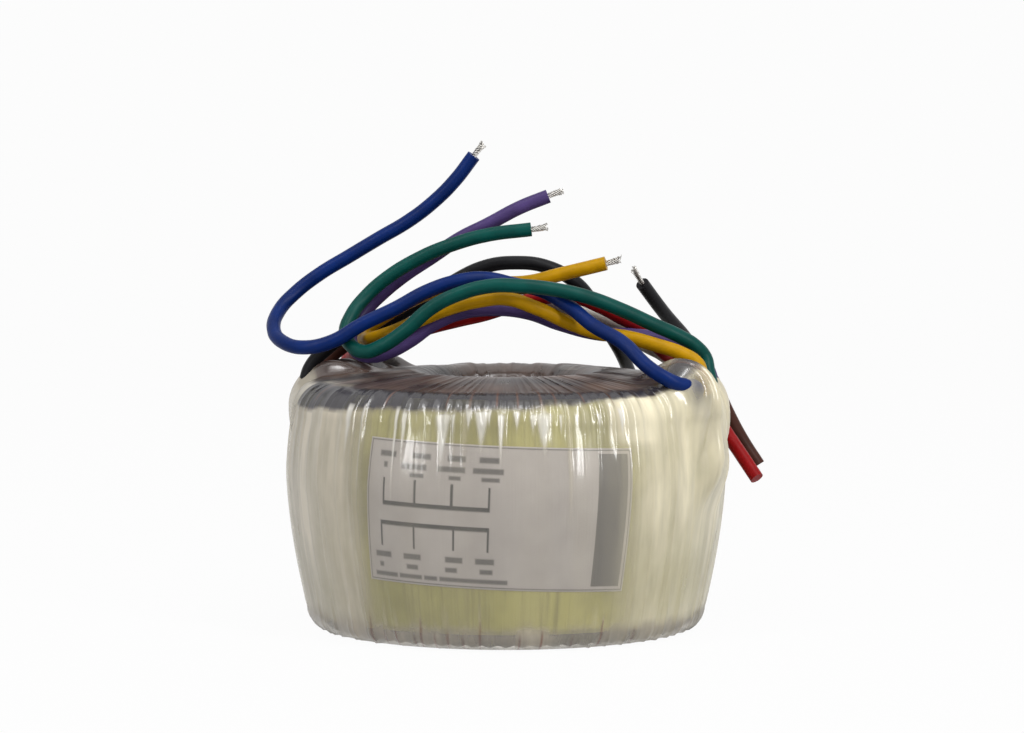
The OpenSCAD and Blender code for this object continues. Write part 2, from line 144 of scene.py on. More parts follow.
def rising(turn, height, swing):
    """The straight first run of a lead: against the shoulder at a turn round the ring and a height,
    then up along the joint's lean, swung round the ring by some degrees."""
    radius = shoulder_radius(height, LEAD_ABOVE_SHOULDER)
    low, high = np.radians(turn), np.radians(turn - swing)
    upper = radius - JOINT_RISE * JOINT_LEAN
    return [(radius * np.sin(low), -radius * np.cos(low), height),
            (upper * np.sin(high), -upper * np.cos(high), height + JOINT_RISE)]


def lead(colour_name, route, material):
    """A round cord on one smooth curve through the route's points."""
    curve = bpy.data.curves.new("wire_" + colour_name, "CURVE")
    curve.dimensions = "3D"
    curve.bevel_depth = LEAD_D / 2
    curve.bevel_resolution = 5
    curve.resolution_u = 10
    curve.use_fill_caps = True
    spline = curve.splines.new("BEZIER")
    spline.bezier_points.add(len(route) - 1)
    spline.bezier_points.foreach_set("co", np.array(route).ravel())
    for point in spline.bezier_points:
        point.handle_left_type = point.handle_right_type = "AUTO"
    curve.materials.append(material)
    wire = bpy.data.objects.new("wire_" + colour_name, curve)
    scene.collection.objects.link(wire)
    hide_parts("lead_" + colour_name)
    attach(wire, "root")


# Bared ends: seven tinned copper strands, one straight and six twisted round it, a little splayed
# where the insulation was stripped off. Their solid in the CAD model is a plain rod.
STRAND_R = 0.00024
STRAND_SIDES, STRAND_STEPS = 8, 26
STRAND_PITCH = 0.00375  # length in which a strand winds round the middle one once
STRAND_SPLAY = 0.0006  # how far the most splayed one ends beyond its place
STRAND_SHORTER = 0.22  # how much of the length the shortest can lack
STRANDS_INSIDE = 0.0008  # how far they start inside the insulation
BARED_LENGTH = 0.0045
tin, tin_tree = new_material("tinned_strands")
tin_marks = noise(tin_tree, 2600, 4)
show(tin_tree, add(tin_tree, "BsdfPrincipled", {
    "Base Color": mix_colour(tin_tree, tin_marks, linear(142, 138, 132), linear(226, 224, 220)),
    "Metallic": 1.0,
    "Roughness": between(tin_tree, tin_marks, 0.3, 0.7, 0.22, 0.42),
    "Normal": add(tin_tree, "Bump", {"Height": tin_marks, "Distance": 0.0001}).outputs[0],
}).outputs[0])


def mesh_piece(name, points, faces, materials):
    """An object at the origin from points and faces, smoothly shaded."""
    mesh = bpy.data.meshes.new(name)
    mesh.from_pydata(points.reshape(-1, 3), [], faces)
    mesh.polygons.foreach_set("use_smooth", np.ones(len(mesh.polygons), bool))
    for material in materials:
        mesh.materials.append(material)
    mesh.update()
    piece = bpy.data.objects.new(name, mesh)
    scene.collection.objects.link(piece)
    return piece


def strands(colour_name, path, seed):
    """Seven tubes along one path. The middle one keeps to it; the other six wind round it at two
    strand radii, and spread from it by the square of the distance run. Each has its own length."""
    draw = np.random.default_rng(seed)
    path = np.array(path)
    steps = np.linspace(0, 1, STRAND_STEPS)
    runs = np.concatenate([[0], np.cumsum(np.linalg.norm(np.diff(path, axis=0), axis=1))])
    bend = np.polyfit(runs / runs[-1], path, min(2, len(path) - 1))
    ends = 1 - STRAND_SHORTER * draw.random(7)
    share = steps * ends[:, None]
    middle = sum(c * share[..., None] ** (len(bend) - 1 - i) for i, c in enumerate(bend))
    along = path[-1] - path[0]
    along /= np.linalg.norm(along)
    side = np.cross(along, (0.2, 1.0, 0.1))
    side /= np.linalg.norm(side)
    up = np.cross(along, side)
    turns = np.arange(7) * np.pi / 3 + 2 * np.pi * share.T * runs[-1] / STRAND_PITCH
    splay = STRAND_SPLAY * draw.uniform(0.2, 1, 7) * share.T**2
    spread = (2 * STRAND_R + splay) * (np.arange(7) < 6)
    offset = (spread * np.cos(turns))[..., None] * side + (spread * np.sin(turns))[..., None] * up
    centres = middle + offset.transpose(1, 0, 2)
    around = np.linspace(0, 2 * np.pi, STRAND_SIDES, endpoint=False)
    ring = np.cos(around)[:, None] * side + np.sin(around)[:, None] * up
    points = centres[:, :, None, :] + STRAND_R * ring
    strand, step = np.arange(7)[:, None, None], np.arange(STRAND_STEPS - 1)[None, :, None]
    corner = np.arange(STRAND_SIDES)[None, None, :]
    a = (strand * STRAND_STEPS + step) * STRAND_SIDES + corner
    b = (strand * STRAND_STEPS + step) * STRAND_SIDES + (corner + 1) % STRAND_SIDES
    walls = np.stack([a, b, b + STRAND_SIDES, a + STRAND_SIDES], -1).reshape(-1, 4).tolist()
    first = np.arange(7)[:, None] * STRAND_STEPS * STRAND_SIDES + np.arange(STRAND_SIDES)
    last = first + (STRAND_STEPS - 1) * STRAND_SIDES
    tip = mesh_piece("tip_" + colour_name, points,
                     walls + first[:, ::-1].tolist() + last.tolist(), [tin])
    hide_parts("conductor_" + colour_name)
    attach(tip, "root")
    return tip


def beyond(path, rise):
    """The bared strands' path: on from the lead's end the way it points, with a slight rise."""
    end, before = np.array(path[-1]), np.array(path[-2])
    ahead = (end - before) / np.linalg.norm(end - before)
    return [end - STRANDS_INSIDE * ahead, end + BARED_LENGTH / 2 * ahead,
            end + BARED_LENGTH * ahead + (0, 0, rise)]


# The leads' paths through the air, from the top of the first run to the end, in metres
black_path = [
    (-.048, .013, .0715), (-.043, .013, .075), (-.032, .014, .079), (-.023, .015, .084),
    (-.015, .016, .089), (-.0055, .0165, .0935), (.0025, .0165, .0945), (.0105, .017, .0935),
    (.018, .019, .0895), (.0235, .024, .083), (.0275, .031, .0755), (.0315, .04, .0685),
    (.0345, .05, .0615), (.038, .058, .0545), (.043, .0645, .05), (.0495, .0675, .051),
    (.054, .065, .0565), (.054, .057, .0645), (.05, .0465, .0715), (.0425, .034, .0805),
    (.0365, .026, .0885),
]
white_path = [
    (-.033, .0325, .0695), (-.0285, .0255, .0725), (-.0235, .017, .076), (-.0175, .009, .0795),
    (-.01, .003, .083), (-.0015, .0005, .085), (.009, -.0005, .0845), (.0175, -.001, .083),
    (.026, -.001, .08), (.031, .0035, .077), (.0365, .012, .073), (.042, .023, .0695),
    (.047, .033, .065), (.05, .042, .0585), (.0515, .048, .0505), (.0505, .051, .042),
    (.0485, .052, .0335),
]
brown_path = [
    (-.043, .02, .0725), (-.038, .02, .0765), (-.029, .0205, .0815), (-.02, .021, .0855),
    (-.0095, .021, .0875), (.001, .02, .0875), (.0115, .018, .0865), (.022, .015, .0845),
    (.03, .012, .0815), (.038, .01, .0785), (.046, .012, .0735), (.052, .0175, .0675),
    (.0565, .0265, .0605), (.0595, .027, .054), (.0635, .028, .0465), (.068, .027, .0395),
]
red_path = [
    (-.04, .024, .0695), (-.0325, .012, .073), (-.0265, .004, .076), (-.0195, -.002, .0785),
    (-.012, -.0045, .0805), (-.0055, -.0045, .082), (.0025, -.004, .0845), (.011, -.005, .0865),
    (.018, -.0065, .0865), (.0245, -.0065, .084), (.03, -.0045, .081), (.0345, 0, .0785),
    (.038, .0055, .075), (.0415, .012, .071), (.046, .021, .0675), (.0505, .025, .0625),
    (.0545, .0243, .056), (.0585, .0205, .0495), (.0625, .015, .0435), (.0665, .011, .0375),
]
purple_path = [
    (.0485, .001, .0715), (.0415, -.002, .075), (.0325, -.0045, .0765), (.024, -.007, .077),
    (.014, -.007, .0795), (.0055, -.0075, .0825), (-.0035, -.009, .0835), (-.012, -.0095, .0825),
    (-.019, -.01, .0795), (-.025, -.0105, .0753), (-.0305, -.0115, .0725), (-.035, -.0115, .0715),
    (-.0385, -.01, .0725), (-.0405, -.007, .0755), (-.039, -.0025, .0795), (-.0365, 0, .083),
    (-.0325, .0015, .087), (-.027, .002, .0915), (-.0195, .002, .0965), (-.012, .002, .1015),
    (-.005, .002, .105), (.0035, .002, .1095), (.011, .002, .1125),
]
green_path = [
    (.0515, -.0095, .071), (.049, -.0105, .074), (.045, -.0115, .0765), (.0385, -.013, .0795),
    (.03, -.015, .0835), (.021, -.017, .087), (.0125, -.0185, .089), (.0035, -.0195, .09),
    (-.004, -.02, .09), (-.012, -.02, .088), (-.019, -.02, .0845), (-.026, -.02, .0785),
    (-.032, -.019, .0745), (-.0365, -.017, .073), (-.04, -.0145, .0745), (-.0415, -.011, .0775),
    (-.04, -.0075, .082), (-.037, -.0045, .086), (-.0315, -.003, .091), (-.0225, -.003, .0965),
    (-.014, -.003, .1), (-.005, -.0035, .1025), (.0065, -.004, .104),
]
yellow_path = [
    (.049, -.0165, .07), (.045, -.016, .0725), (.039, -.016, .0745), (.0315, -.0145, .0765),
    (.024, -.0125, .0775), (.0165, -.0125, .08), (.008, -.015, .084), (0, -.015, .0865),
    (-.0065, -.0145, .086), (-.0145, -.0135, .084), (-.022, -.0125, .081), (-.0285, -.011, .078),
    (-.034, -.008, .076), (-.0365, -.0035, .075), (-.0375, .001, .076), (-.037, .0045, .0775),
    (-.034, .0075, .0795), (-.0285, .008, .083), (-.02, .0075, .087), (-.011, .0065, .089),
    (-.0015, .005, .0895), (.006, .0035, .09), (.014, .002, .092), (.026, 0, .095),
]
blue_path = [
    (.0482, -.0294, .0645), (.0436, -.0328, .0658), (.0405, -.0335, .0672), (.036, -.032, .07),
    (.0295, -.027, .076), (.0225, -.0215, .0798), (.016, -.0155, .0847), (.009, -.012, .0885),
    (.002, -.01, .09), (-.005, -.0105, .0915), (-.012, -.012, .091), (-.02, -.0135, .0885),
    (-.0285, -.015, .084), (-.037, -.016, .08), (-.045, -.017, .0755), (-.052, -.0155, .074),
    (-.0575, -.011, .075), (-.0605, -.0045, .078), (-.0595, .002, .0825), (-.0555, .006, .087),
    (-.049, .008, .092), (-.0415, .009, .0965), (-.034, .009, .101), (-.0255, .008, .106),
    (-.019, .007, .111), (-.0135, .006, .1165), (-.0085, .005, .123),
]
# Each lead's colour, its length, its joint's turn and height, the swing of its first run, and path
LEADS = {
    "black": (linear(24, 24, 27), 0.22, -104, JOINT_Z, 0, black_path),
    "white": (linear(226, 224, 216), 0.174, -138, JOINT_Z, 0, white_path),
    "brown": (linear(70, 40, 32), 0.157, -115, JOINT_Z, 0, brown_path),
    "red": (linear(146, 14, 18), 0.176, -126, JOINT_Z, 0, red_path),
    "purple": (linear(76, 60, 110), 0.18, 98, JOINT_Z, 0, purple_path),
    "green": (linear(0, 70, 64), 0.178, 76, JOINT_Z, -1.5, green_path),
    "yellow": (linear(190, 142, 4), 0.181, 69, JOINT_Z, 0, yellow_path),
    "blue": (linear(0, 34, 96), 0.219, 62, LOW_JOINT_Z, 1.5, blue_path),
}
bared = {
    "black": strands("black", [black_path[-1], (.0346, .023, .0915), (.0336, .021, .0932)], 1),
    "purple": strands("purple", beyond(purple_path, -0.0002), 2),
    "green": strands("green", beyond(green_path, 0.0002), 3),
    "yellow": strands("yellow", beyond(yellow_path, 0.0003), 4),
    "blue": strands("blue", beyond(blue_path, 0), 5),
}
for colour_name, (colour, length, turn, height, swing, path) in LEADS.items():
    lead(colour_name, rising(turn, height, swing) + path,
         pvc("lead_" + colour_name, colour))


def finish_node(names, material):
    """Gives CAD nodes a finish of their own. They keep their place, shape and body."""
    for name in names:
        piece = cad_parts[name]
        piece.data.materials.clear()
        piece.data.materials.append(material)


RING_R = 0.057  # outer radius of what is wound round the ring


def round_the_ring():
    """A node group for whatever is wound round the ring: noise stretched along each turn, so that
    it runs up the outer side and straight in across the top. The place on the ring is the object
    coordinate with its height taken out, made as long as the ring's radius, plus a small share of
    the whole coordinate."""
    group = bpy.data.node_groups.new("round_the_ring", "ShaderNodeTree")
    for name, value in (("Fineness", 500.0), ("Along", 0.1), ("Detail", 3.0)):
        socket = group.interface.new_socket(name, in_out="INPUT", socket_type="NodeSocketFloat")
        socket.default_value = value
    group.interface.new_socket("Streak", in_out="OUTPUT", socket_type="NodeSocketFloat")
    given = group.nodes.new("NodeGroupInput").outputs
    place = add(group, "TexCoord").outputs["Object"]
    flat = add(group, "VectorMath", {0: place, 1: (1, 1, 0)}, operation="MULTIPLY").outputs[0]
    on_ring = add(group, "VectorMath", {0: flat}, operation="NORMALIZE").outputs[0]
    ring = add(group, "VectorMath", {0: on_ring, "Scale": RING_R}, operation="SCALE").outputs[0]
    rest = add(group, "VectorMath", {0: place, "Scale": given["Along"]}, operation="SCALE")
    both = add(group, "VectorMath", {0: ring, 1: rest.outputs[0]}, operation="ADD").outputs[0]
    streak = add(group, "TexNoise", {"Vector": both, "Scale": given["Fineness"],
                                     "Detail": given["Detail"]}).outputs[0]
    out = group.nodes.new("NodeGroupOutput")
    group.links.new(streak, out.inputs["Streak"])
    return group


ring_group = round_the_ring()


def streaks(tree, fineness, along=0.1, detail=3.0):
    """The output of the group above, placed in a material with its own values."""
    return add(tree, "Group", {"Fineness": fineness, "Along": along, "Detail": detail},
               node_tree=ring_group).outputs["Streak"]


def worked(name, dark, light, marks, roughness, bump, metallic=0.0):
    """A finish between two colours, with roughness and bump from the same marks. marks makes them
    in the material's tree."""
    material, tree = new_material(name)
    mask = between(tree, marks(tree), 0.35, 0.65)
    show(tree, add(tree, "BsdfPrincipled", {
        "Base Color": mix_colour(tree, mask, dark, light),
        "Metallic": metallic,
        "Roughness": between(tree, mask, 0, 1, roughness + 0.08, roughness - 0.05),
        "Normal": add(tree, "Bump", {"Height": mask, "Distance": bump}).outputs[0],
    }).outputs[0])
    return material


# ---- Core ----
# A ring of thin silicon-steel strip wound on itself like a roll of tape. Moulded caps cover both
# its ends and a pressed-paper band lies between them on each wall. All of it is closed in.
finish_node(["core"], worked("wound_strip", linear(104, 106, 110), linear(160, 161, 164),
                             lambda tree: noise(tree, 900, 2), 0.38, 0.0001, 1.0))
finish_node(["core_cap_top", "core_cap_bottom"],
            worked("moulded_cap", linear(44, 44, 46), linear(58, 58, 60),
                   lambda tree: noise(tree, 700), 0.5, 0.00008))
finish_node(["core_band_outer", "core_band_inner", "interwinding_film"],
            worked("insulating_film", linear(196, 182, 142), linear(224, 212, 176),
                   lambda tree: streaks(tree, 420), 0.34, 0.0001))


# ---- Windings ----
# Both are of round copper wire in clear brown enamel, pulled tight over the ring through its hole.
# The outer one has heavy turns that stand apart as ridges, with darker varnish in between.
finish_node(["primary_winding"],
            worked("fine_enamelled_wire", linear(112, 52, 28), linear(176, 92, 54),
                   lambda tree: streaks(tree, 2400, 0.02), 0.3, 0.0002, 0.6))
DARKENS_FROM, DARKENS_TO = 0.040, 0.0465  # radii between which the winding's colour darkens outward
copper, copper_tree = new_material("heavy_enamelled_wire")
turns_of_wire = streaks(copper_tree, 1300, 0.02, 1.0)
aged = noise(copper_tree, 120, 4)
wire_tone = mix_colour(copper_tree, between(copper_tree, turns_of_wire, 0.38, 0.62),
                       linear(62, 52, 50), linear(116, 86, 72))
wire_tone = mix_colour(copper_tree, between(copper_tree, aged, 0.4, 0.7), wire_tone,
                       linear(92, 82, 80))
place = add(copper_tree, "TexCoord").outputs["Object"]
level = add(copper_tree, "VectorMath", {0: place, 1: (1, 1, 0)}, operation="MULTIPLY").outputs[0]
from_axis = add(copper_tree, "VectorMath", {0: level}, operation="LENGTH").outputs["Value"]
outward = between(copper_tree, from_axis, DARKENS_FROM, DARKENS_TO, 0, 0.95)
wire_tone = mix_colour(copper_tree, outward, wire_tone, linear(50, 46, 51))
show(copper_tree, add(copper_tree, "BsdfPrincipled", {
    "Base Color": wire_tone,
    "Metallic": 0.35,
    "Roughness": between(copper_tree, aged, 0.3, 0.7, 0.28, 0.5),
    "Normal": add(copper_tree, "Bump", {"Height": turns_of_wire, "Strength": 0.5,
                                        "Distance": 0.0005}).outputs[0],
}).outputs[0])
finish_node(["secondary_winding"], copper)


# ---- Tape band ----
# Dull yellow polyester tape, laid round the outer side over the winding before the outer film. The
# wires under it show as soft upright ridges, and its glue layer makes it cloudy in places.
WOUND_R, WIDEST_Z = 0.0568, 0.0410
WOUND_Z0, WOUND_Z1 = 0.00072, 0.06407
BASE_TAPER, TOP_TAPER, TAPER_POWER = 0.0065, 0.0039, 1.6
BAND_FACES = (0.00026, -0.0001)  # how far its outer and inner face lie off the winding
BAND_COLUMNS, BAND_ROWS = 360, 40


def side_radius(height):
    """Radius of the finished winding's outer side: widest part of the way up, and smaller towards
    the base and the top by a power of the distance."""
    below = np.maximum(0, (WIDEST_Z - height) / (WIDEST_Z - WOUND_Z0))
    above = np.maximum(0, (height - WIDEST_Z) / (WOUND_Z1 - WIDEST_Z))
    return WOUND_R - BASE_TAPER * below**TAPER_POWER - TOP_TAPER * above**TAPER_POWER


def grid_faces(columns, rows, round_columns=False, round_rows=False):
    """Four-cornered faces of a grid whose points run row by row inside each column. A grid that is
    closed in a direction joins its last line to its first."""
    c = np.arange(columns if round_columns else columns - 1)[:, None]
    r = np.arange(rows if round_rows else rows - 1)[None, :]
    c2, r2 = (c + 1) % columns, (r + 1) % rows
    corners = [c * rows + r, c * rows + r2, c2 * rows + r2, c2 * rows + r]
    return np.stack(corners, -1).reshape(-1, 4)


def round_the_axis(radius, turn, height):
    """Points from a radius, a turn in radians from the front and a height, which may be given for
    one direction of a grid only."""
    across, forward = radius * np.sin(turn), -radius * np.cos(turn)
    return np.stack([across, forward, height + 0 * across], -1)


tape, tape_tree = new_material("band_tape")
ridges = streaks(tape_tree, 620, 0.04, 2.0)
cloud = noise(tape_tree, 55, 4)
tape_tone = mix_colour(tape_tree, between(tape_tree, cloud, 0.35, 0.68),
                       linear(134, 129, 70), linear(170, 164, 98))
tape_tone = mix_colour(tape_tree, between(tape_tree, ridges, 0.5, 0.75, 0, 0.6), tape_tone,
                       linear(112, 106, 58))
show(tape_tree, add(tape_tree, "BsdfPrincipled", {
    "Base Color": tape_tone,
    "Roughness": between(tape_tree, cloud, 0.3, 0.7, 0.3, 0.45),
    "Normal": add(tape_tree, "Bump", {"Height": ridges, "Strength": 0.6,
                                      "Distance": 0.0005}).outputs[0],
}).outputs[0])
band_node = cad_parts["outer_band"]
band_corners = [band_node.matrix_world @ Vector(corner) for corner in band_node.bound_box]
band_z = np.linspace(min(corner.z for corner in band_corners),
                     max(corner.z for corner in band_corners), BAND_ROWS)
band_out, band_in = (np.where(band_z > SHOULDER_MIDDLE[1], shoulder_radius(band_z, off),
                              side_radius(band_z) + off) for off in BAND_FACES)
band_points = round_the_axis(np.concatenate([band_out, band_in[::-1]]),
                             np.radians(np.arange(BAND_COLUMNS) * 360 / BAND_COLUMNS)[:, None],
                             np.concatenate([band_z, band_z[::-1]]))
band = mesh_piece("tape_band", band_points,
                  grid_faces(BAND_COLUMNS, 2 * BAND_ROWS, True, True).tolist(), [tape])
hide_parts("outer_band")
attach(band, "root")


# ---- Rating label ----
# A sheet of grey label stock stuck on the band under the outer film, a little askew. Its print is
# left generic: a frame, a plain diagram of two tapped windings, blank bars for the words beside
# the taps, and a plain dark block at one end.
LABEL_W, LABEL_H, LABEL_T = 0.0700, 0.0360, 0.00012
LABEL_TURN, LABEL_TILT, LABEL_Z = np.radians(-2.2), np.radians(2.3), 0.0343
LABEL_LIFT = 0.00034  # off the winding, to the middle of the sheet
LABEL_COLUMNS, LABEL_ROWS = 281, 145
EDGE_FADE, WORD_FADE = 0.00012, 0.0004  # over which the print's edges fade; its words are softer


def point_values(piece, name, values):
    """Keeps one number for each point of a piece, for its material to read."""
    attribute = piece.data.attributes.new(name, "FLOAT", "POINT")
    attribute.data.foreach_set("value", np.ascontiguousarray(values, dtype=np.float32).ravel())


def kept(tree, name):
    """The output of the numbers kept under a name, in a material."""
    return add(tree, "Attribute", attribute_name=name).outputs["Fac"]


def bars(table, fade=EDGE_FADE):
    """How dark the print is at each of the label's points: 1 inside any of the rectangles in the
    table, given as left, right, bottom and top in millimetres, with edges that fade."""
    left, right, low, high = (np.array(table).T / 1000)[..., None, None]
    inside = np.minimum(np.minimum(across - left, right - across), np.minimum(up - low, high - up))
    return np.clip(inside / fade + 0.5, 0, 1).max(0)


across, up = np.meshgrid(np.linspace(-LABEL_W / 2, LABEL_W / 2, LABEL_COLUMNS),
                         np.linspace(-LABEL_H / 2, LABEL_H / 2, LABEL_ROWS), indexing="ij")
# The sheet is turned in its own plane, then laid round the band
label_x = across * np.cos(LABEL_TILT) + up * np.sin(LABEL_TILT)
label_z = LABEL_Z - across * np.sin(LABEL_TILT) + up * np.cos(LABEL_TILT)
label_turns = LABEL_TURN + label_x / WOUND_R
label_points = round_the_axis(side_radius(label_z) + LABEL_LIFT, label_turns, label_z)

FRAME_LINES = [(-34.6, 34.6, 17.3, 17.6), (-34.6, 34.6, -17.6, -17.3),
               (-34.6, -34.3, -17.6, 17.6), (34.3, 34.6, -17.6, 17.6)]
DIAGRAM = [(-30.2, -29.6, 1.6, 8.4), (-21.5, -20.9, 1.6, 8.4), (-11.8, -11.2, 1.6, 8.0),
           (-2.4, -1.8, 1.6, 7.6), (-30.2, -1.8, 1.5, 2.6), (-30.9, -1.8, -3.5, -2.4),
           (-30.9, -30.3, -8.8, -2.4), (-21.7, -21.1, -9.0, -2.4), (-11.2, -10.6, -8.7, -2.4),
           (-2.4, -1.8, -8.6, -2.4)]
WORD_ROWS = (  # bottom and top of each row of words, then left and right of each of its bars
    (13.6, 15.0, ((-31.6, -27.0), (-22.4, -17.4), (-13.0, -8.4), (-4.9, 0.0))),
    (10.9, 12.3, ((-30.3, -29.2), (-25.2, -18.4), (-15.4, -8.4), (-6.4, 1.2))),
    (9.0, 10.0, ((-22.7, -19.0), (-12.4, -9.4), (-4.2, 0.3))),
    (-11.7, -10.3, ((-32.6, -28.0), (-24.4, -19.6), (-13.0, -8.5), (-5.2, -0.4))),
    (-14.2, -13.0, ((-31.6, -30.4), (-23.6, -20.4), (-13.0, -9.9), (-4.0, -0.7))),
    (-16.6, -15.5, ((-33.0, -26.4), (-25.8, -19.4), (-18.8, -15.2), (-14.6, 3.2))),
)
WORD_BARS = [(*sides, low, high) for low, high, row in WORD_ROWS for sides in row]
DARK_BLOCK = [(25.4, 33.7, -16.6, 16.6)]
ink = np.maximum(bars(DIAGRAM), 0.8 * np.maximum.reduce([
    bars(FRAME_LINES), bars(WORD_BARS, WORD_FADE), bars(DARK_BLOCK)]))

stock, stock_tree = new_material("label_stock")
printed = kept(stock_tree, "ink")
paper = mix_colour(stock_tree, between(stock_tree, noise(stock_tree, 90, 4), 0.3, 0.7),
                   linear(159, 153, 151), linear(174, 168, 166))
show(stock_tree, add(stock_tree, "BsdfPrincipled", {
    "Base Color": mix_colour(stock_tree, printed, paper, linear(18, 17, 20)),
    "Roughness": between(stock_tree, printed, 0, 1, 0.48, 0.36),
    "Normal": add(stock_tree, "Bump", {"Height": streaks(stock_tree, 620, 0.04, 2.0),
                                       "Strength": 0.35, "Distance": 0.0003}).outputs[0],
}).outputs[0])
label = mesh_piece("printed_label", label_points,
                   grid_faces(LABEL_COLUMNS, LABEL_ROWS)[:, ::-1].tolist(), [stock])
point_values(label, "ink", ink)
sheet = label.modifiers.new("sheet", "SOLIDIFY")
sheet.thickness, sheet.offset = LABEL_T, 0.0
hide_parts("rating_label")
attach(label, "root")


# ---- Joint sleeves ----
# Short lengths of dark insulating sleeve over the joints between the windings' ends and the leads.
# They lie against the shoulder, and the outer film holds them down.
finish_node(["joint_sleeves_primary", "joint_sleeves_secondary"],
            worked("insulating_sleeve", linear(58, 56, 54), linear(84, 80, 76),
                   lambda tree: noise(tree, 1500, 4), 0.55, 0.0002))


# ---- Outer film ----
# Clear polyester film, wound through the hole and round the outside in many lapped turns that hold
# everything down. It turns milky where many laps lie on each other. Its edges make upright steps
# down the side, and it gathers into sharp creases at the shoulder, where the strip can't lie flat.
FILM_OFF = 0.00058  # off the winding's outer side
FILM_HOLE_R = 0.0184
BASE_Z = 0.0002  # height of the film under the base
BASE_CORNER = (0.04654, 0.00572)  # radius and height
BASE_CORNER_R = 0.005
BASE_FLAT = (0.044, 0.028)
LIP_R = 0.007
RIM_Z = 0.06617
RIM_OFF = 0.0008
DISH = 1.25  # power by which the top dips between the shoulder and the hole's rim
UPPER_HALF_Z = 0.03


def film_section():
    """Closed half section of the film as it lies without creases, as radius and height, with the
    outward direction of each point. Round the outer shoulder, down the tapering side, round the
    base corner, under the base, round the hole's lower lip, up the hole, over its upper lip and
    out across the top. Arcs are centre plus radius times cosine and sine."""
    def arc(centre, radius, start, end, count):
        angle = np.radians(np.linspace(start, end, count))
        return centre[0] + radius * np.cos(angle), centre[1] + radius * np.sin(angle)

    low_z = LIP_R + BASE_Z
    side_z = np.linspace(SHOULDER_MIDDLE[1], BASE_CORNER[1], 32)[1:-1]
    lip_r = FILM_HOLE_R + LIP_R
    high_z = RIM_Z + RIM_OFF - LIP_R
    parts = [
        arc(SHOULDER_MIDDLE, SHOULDER_R + FILM_OFF, 88, 0, 17),
        (side_radius(side_z) + FILM_OFF, side_z),
        arc(BASE_CORNER, BASE_CORNER_R + FILM_OFF - BASE_Z / 2, 0, -88, 7),
        (np.linspace(*BASE_FLAT, 4), np.full(4, BASE_Z)),
        arc((lip_r, low_z), LIP_R, -92, -176, 6),
        (np.full(8, FILM_HOLE_R), np.linspace(0.011, 0.054, 8)),
        arc((lip_r, high_z), LIP_R, 178, 92, 15),
    ]
    inner_end = (parts[-1][0][-1], parts[-1][1][-1])
    outer_end = (parts[0][0][0], parts[0][1][0])
    share = np.linspace(0, 1, 16)[1:-1]
    top_r = inner_end[0] + (outer_end[0] - inner_end[0]) * share
    top_z = inner_end[1] + (outer_end[1] - inner_end[1]) * share**DISH
    parts.append((top_r, top_z))
    radius, height = (np.concatenate(side) for side in zip(*parts))
    height = np.maximum(height, BASE_Z)
    step_r = np.roll(radius, -1) - np.roll(radius, 1)
    step_z = np.roll(height, -1) - np.roll(height, 1)
    length = np.hypot(step_r, step_z)
    return radius, height, -step_z / length, step_r / length


def smooth(value):
    """0 below 0 and 1 above 1, with an even S-shaped rise between them."""
    value = np.clip(value, 0, 1)
    return value * value * (3 - 2 * value)


def rises(place, start, run):
    """From 0 at a start to 1 one run further on, in an S."""
    return smooth((place - start) / run)


def falls(place, end, run):
    """From 1 one run before an end to 0 at it, in an S."""
    return smooth((end - place) / run)


def bell(place, middle, width):
    """1 in the middle, and e to the power of minus the square of the distance in widths."""
    return np.exp(-(((place - middle) / width) ** 2))


def wrapped(turn):
    """A turn brought to between -180 and 180 degrees."""
    return (turn + 180) % 360 - 180


# The film's grid. Columns are turns round the ring in degrees, 0 at the label and positive to its
# right: closer together in front, from -78 on past the back to 282, where it meets its start. What
# is given for turns below -78 doesn't act unless it is wrapped: it steps where the ends meet.
film_r, film_z, out_r, out_z = film_section()
turns = np.concatenate([np.linspace(-78, 78, 708), np.linspace(78, 282, 206)[1:-1]])[:, None]
turned = np.abs(turns)  # runs on from 180 at the back to 282
rows, columns = len(film_r), len(turns)
upper_half = film_z > UPPER_HALF_Z
# How far up the outer side and over the shoulder a row lies: its height, then the length round the
# shoulder, then the way in across the top, so that one number orders them all
MEAN_SHOULDER_R = 0.0085
past_shoulder = np.where((film_z > 0.055) & (film_r < SHOULDER_MIDDLE[0]),
                         SHOULDER_MIDDLE[0] - film_r, 0)
over = np.where(film_z > SHOULDER_MIDDLE[1],
                SHOULDER_MIDDLE[1] + MEAN_SHOULDER_R * np.arctan2(
                    film_z - SHOULDER_MIDDLE[1], np.maximum(film_r - SHOULDER_MIDDLE[0], 1e-5)),
                film_z) + past_shoulder
across_top = rises(over, 0.0632, 0.006) * upper_half
draw = np.random.default_rng(41)

# Laps: each edge is a sharp step up, that dies away over the strip's width and tones all of it
LAPS = 88
LAP_DIES, LAP_WIDTH = 4.2, 6.5  # in degrees
lap_turns = -180 + 360 * (np.arange(LAPS) + draw.uniform(-0.36, 0.36, LAPS)) / LAPS
lap_steps = draw.uniform(0.04, 0.17, LAPS) / 1000
lap_slant = draw.uniform(-34, 10, LAPS)
lap_haze = draw.uniform(-1, 1, LAPS)
lift = np.zeros((columns, rows))
lap_tone = np.zeros((columns, rows))
for edge, step, slant, tone in zip(lap_turns, lap_steps, lap_slant, lap_haze):
    past = wrapped(turns - edge - slant * (over - 0.03))
    dying = np.exp(-np.maximum(past, 0) / LAP_DIES) * (past < 60)
    lift += step * smooth(past / 0.3 + 0.5) * dying
    lap_tone += tone * smooth(past / 0.25 + 0.5) * falls(past, LAP_WIDTH, 1.5)

